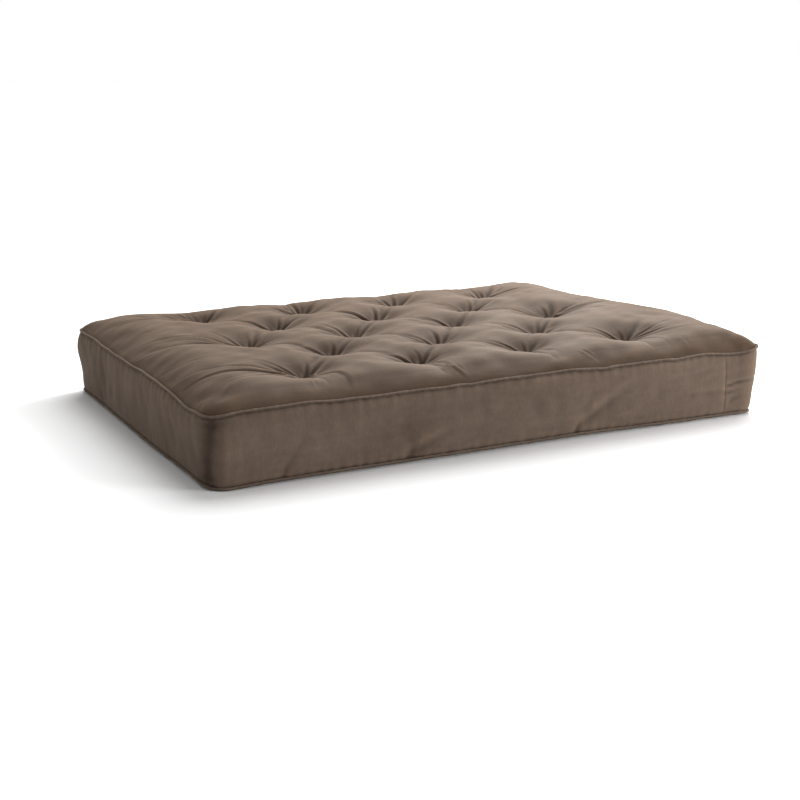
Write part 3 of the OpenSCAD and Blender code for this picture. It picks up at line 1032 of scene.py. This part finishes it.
def suede(name, colour, nap=1.0, weave=1.0, patch=4.5):
    """Brushed microsuede: a patchy nap over a fine horizontal weave."""
    sheen = dict(Sheen_Weight=0.17, Sheen_Roughness=0.40, Sheen_Tint=(1.0, 0.75, 0.55, 1))
    made = material(name, **sheen, Specular_IOR_Level=0.08)
    flat = made.flat_place()
    patches = made.noise(flat, patch, 3.0, 0.5, 0.5)
    strokes = made.noise(made.flat_place((9, 34, 1), 0.12), 1.0, 5.0, 0.65, 0.6)
    brush = made.noise(made.flat_place((150, 48, 1), -0.1), 1.0, 4.0, 0.7, 0.3)
    threads = made.noise(made.flat_place((190, 1100, 1)), 1.0, 3.0, 0.7)
    cross = made.noise(made.flat_place((1100, 190, 1)), 1.0, 2.0, 0.6)
    fibre = made.noise(flat, 2600, 3.0, 0.7)
    lift = made.node("Attribute", attribute_name="lift").outputs["Fac"]
    dark, pale = shade(colour, 1 - 0.16 * nap), shade(colour, 1 + 0.14 * nap)
    tone = made.mix(made.span(patches, 0.3, 0.7), dark, pale)
    tone = made.multiplied(tone, strokes, 0.25, 0.75, grey(1 - 0.13 * nap), grey(1 + 0.11 * nap))
    tone = made.multiplied(tone, brush, 0.25, 0.75, grey(1 - 0.10 * weave), grey(1 + 0.09 * weave))
    tone = made.multiplied(tone, threads, 0.2, 0.8, grey(1 - 0.13 * weave), grey(1 + 0.10 * weave))
    tone = made.multiplied(tone, fibre, 0.3, 0.7, grey(0.93), grey(1.06))
    # Paler where the cloth stands up, for worn nap and a painted highlight; darker in hollows and where the
    # lift was lowered, as painted shade
    tone = made.multiplied(tone, lift, 0.02, 0.6, grey(1), WORN_NAP_AND_HIGHLIGHT)
    tone = made.multiplied(tone, lift, -0.02, -0.6, grey(1), HOLLOW_SHADE)
    woven = made.maths("ADD", made.maths("MULTIPLY", threads, 0.8), made.maths("MULTIPLY", cross, 0.4))
    normal = made.bump(woven, 0.00035 * weave)
    normal = made.bump(fibre, 0.00012, normal)
    normal = made.bump(strokes, 0.0009, normal)
    rough = made.span(made.maths("ADD", patches, made.maths("MULTIPLY", fibre, 0.4)), 0.4, 1.0, 0.93, 0.80)
    return made.set(Base_Color=tone, Roughness=rough, Normal=normal)


def twisted(name, colour, fine, pitch):
    """Spun yarn, painted darker in the grooves between its strands as painted shade."""
    made = material(name, Roughness=0.75, Sheen_Weight=0.25, Specular_IOR_Level=0.3)
    hairs = made.noise(made.space(), fine, 4.0, 0.7, 0.4)
    wave = made.node(
        "TexWave",
        {"Vector": made.space(), "Scale": pitch, "Distortion": 2.5, "Detail": 3.0, "Detail Scale": 2.0},
        bands_direction="DIAGONAL",
    ).outputs["Fac"]
    tone = made.mix(made.span(hairs, 0.3, 0.7), shade(colour, 0.72), shade(colour, 1.15))
    # Painted shade in the grooves between the strands
    tone = made.mix(made.span(wave, 0.0, 0.5, 0.35, 0.0), tone, shade(colour, 0.5))
    both = made.maths("ADD", wave, made.maths("MULTIPLY", hairs, 0.5))
    return made.set(Base_Color=tone, Normal=made.bump(both, 0.0004))


def fluffy(name, colour, tint, fleck=None):
    """Fibre filling: matted strands, with flecks in raw cotton."""
    made = material(name, Roughness=0.95, Sheen_Weight=0.5, Sheen_Roughness=0.6, Specular_IOR_Level=0.1)
    mats = made.noise(made.space(), 26, 6.0, 0.65, 1.2)
    drawn_out = made.node("Mapping", {"Vector": made.space(), "Scale": (60, 420, 300)}).outputs[0]
    strands = made.noise(drawn_out, 1, 4.0, 0.7, 2)
    tone = made.mix(made.span(mats, 0.3, 0.7), shade(colour, 1), shade(tint, 1))
    tone = made.mix(made.span(strands, 0.35, 0.65, 0.0, 0.25), tone, shade(colour, 0.8))
    if fleck:
        cells = made.node("TexVoronoi", {"Vector": made.space(), "Scale": 95.0, "Randomness": 1.0})
        seeds = made.span(cells.outputs["Distance"], 0.10, 0.20, 1.0, 0.0)
        tone = made.mix(seeds, tone, shade(fleck, 1))
    loft = made.bump(mats, 0.006)
    return made.set(Base_Color=tone, Normal=made.bump(strands, 0.0012, loft))


def open_cell(name, colour):
    """Foam: open cells with scattered larger ones, painted darker inside them as painted shade."""
    made = material(name, Roughness=0.9, Specular_IOR_Level=0.2)
    small = made.node("TexVoronoi", {"Vector": made.space(), "Scale": 620.0}).outputs["Distance"]
    large = made.node("TexVoronoi", {"Vector": made.space(), "Scale": 150.0}).outputs["Distance"]
    holes = made.span(large, 0.08, 0.16, 1.0, 0.0)
    blotch = made.noise(made.space(), 9, 4.0)
    tone = made.mix(made.span(blotch, 0.3, 0.7), shade(colour, 0.93), shade(colour, 1.04))
    # Painted shade inside the small cells and the larger holes
    tone = made.mix(made.span(small, 0.05, 0.45, 0.45, 0.0), tone, shade(colour, 0.55))
    tone = made.mix(holes, tone, shade(colour, 0.45))
    both = made.maths("SUBTRACT", small, made.maths("MULTIPLY", holes, 0.8))
    return made.set(Base_Color=tone, Normal=made.bump(both, 0.0006))


def note_lift(obj, spread=3):
    """Stores how far each point stands above its neighbours, for the nap's wear, a painted highlight on
    ridges and painted shade in hollows.
    """
    mesh = obj.data
    edges = read(mesh.edges, "vertices", 2, np.int32)
    normals = read(mesh.vertices, "normal", 3)
    count = np.bincount(edges.ravel(), minlength=len(mesh.vertices))

    def around(values):
        total = np.bincount(edges[:, 0], values[edges[:, 1]], len(mesh.vertices))
        total += np.bincount(edges[:, 1], values[edges[:, 0]], len(mesh.vertices))
        return total / np.maximum(count, 1)

    points = get_points(mesh)
    gap = points - np.stack([around(points[:, i]) for i in range(3)], 1)
    lift = (gap * normals).sum(1) / LIFT_UNIT
    for _ in range(spread):
        lift = (lift + around(lift)) / 2
    mesh.attributes.new("lift", "FLOAT", "POINT").data.foreach_set("value", lift.astype(np.float32))


# ---- The pieces ----

BLEND_REACH = 0.17
# How much the lift is lowered, as painted shade, beside a piping, in the corner's fold and below a piping
SEAM_SHADE, SEAM_SHADE_W = 1.0, 0.0090
CORNER_SHADE, CORNER_SHADE_W = 0.5, 0.048
PIPING_SHADE, SHADE_TOP = 1.0, 0.65
PINCH_POINTS = 6


def lower_lift(piece, drop):
    """Lowers a piece's stored lift, which paints shade into its suede."""
    lift = piece.data.attributes["lift"].data
    lift.foreach_set("value", (read(lift, "value") - drop).astype(np.float32))


def shade_seams(strip):
    """Lowers the boxing's lift beside each piping and in the front left corner's fold: painted shade there.
    """
    points = get_points(strip.data)
    s = nearest_station(points[:, :2])
    fold = FRONT_LEFT - 0.018 + CORNER_FOLD[1] * (points[:, 2] - CORNER_LEAN_Z)
    drop = CORNER_SHADE * bump(s, fold, CORNER_SHADE_W)
    for seam in (top_seam, low_seam):
        drop += SEAM_SHADE * bell((points[:, 2] - seam(s)[0]) / SEAM_SHADE_W)
    lower_lift(strip, drop)


def shade_underside(edge, seam):
    """Lowers the lift of a piping's lower side: painted shade there."""
    points = get_points(edge.data)
    up = (points[:, 2] - seam(nearest_station(points[:, :2]))[0]) / PIPING_R
    lower_lift(edge, PIPING_SHADE * np.clip(SHADE_TOP - up, 0, 1))


def place(piece, look, slot, stands_for, body=None):
    """Gives a piece its finish, attaches it to its body or else bakes it in place, and hides the solids it
    stands for.
    """
    piece.data.materials.append(look)
    if body is None:
        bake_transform(piece)
    else:
        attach(piece, body)
    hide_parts(*stands_for)


def halves_of(name):
    """The two CAD solids that a continuous piece stands for."""
    return [name + "_seat", name + "_back"]


studio()

top, cover_grid = top_panel()
note_lift(top)
place(top, suede("cover_top", TOP_BROWN, 0.85), "cover_top", halves_of("top_panel"))

bottom = bottom_panel()
note_lift(bottom)
place(bottom, suede("cover_bottom", BOTTOM_BROWN, 0.8), "cover_bottom", halves_of("bottom_panel"))

boxing_look = suede("cover_boxing", BOXING_BROWN, 0.9, 1.3, 2.4)
for side, start in (("right", JOINT), ("left", JOINT + PERIMETER / 2)):
    strip = boxing("boxing_" + side, start, start + PERIMETER / 2)
    note_lift(strip)
    shade_seams(strip)
    place(strip, boxing_look, "cover_boxing", halves_of("boxing_" + side))

piping_look = suede("piping", PIPING_BROWN, 0.6, 0.8)
cord_look = twisted("welt_cord", (0.70, 0.67, 0.60), 900, 60)
for level, seam, seed in (("top", top_seam, 31), ("bottom", low_seam, 32)):
    edge = piping(level + "_piping", seam, seed)
    note_lift(edge, 1)
    shade_underside(edge, seam)
    place(edge, piping_look, "piping", halves_of(level + "_piping"))
    place(welt_cord(level + "_welt_cord", seam), cord_look, "welt_cord", halves_of(level + "_welt_cord"))

batting_look = fluffy("batting", (0.80, 0.80, 0.78), (0.88, 0.88, 0.86))
felt_look = fluffy("cotton_felt", (0.66, 0.60, 0.46), (0.76, 0.71, 0.58), (0.16, 0.10, 0.05))
foam_look = open_cell("foam", (0.74, 0.66, 0.36))
for name, made, look, slot, fill in (
    ("lower_batting", lower_batting(), batting_look, "batting", 0.5),
    ("lower_felt", flat_layer("lower_felt"), felt_look, "cotton_felt", 0.7),
    ("foam_core", flat_layer("foam_core"), foam_look, "foam", 0.9),
    ("upper_felt", flat_layer("upper_felt"), felt_look, "cotton_felt", 0.7),
    ("upper_batting", upper_batting(cover_grid), batting_look, "batting", 0.6),
):
    place(made, look, slot, halves_of(name))

twine_look = twisted("twine", TWINE_BROWN, 1800, 260)
cover_points = get_points(top.data)
for cad_name in TIES:
    at = np.array(middle(cad_name).xy)
    near = np.argsort(np.linalg.norm(cover_points[:, :2] - at, axis=1))[:PINCH_POINTS]
    y = at[1]
    body = None if abs(y) < BLEND_REACH else (SEAT if y < 0 else BACK)
    place(tie(cad_name, cover_points[near, 2].mean() + TWINE_R), twine_look, "twine", [cad_name], body)
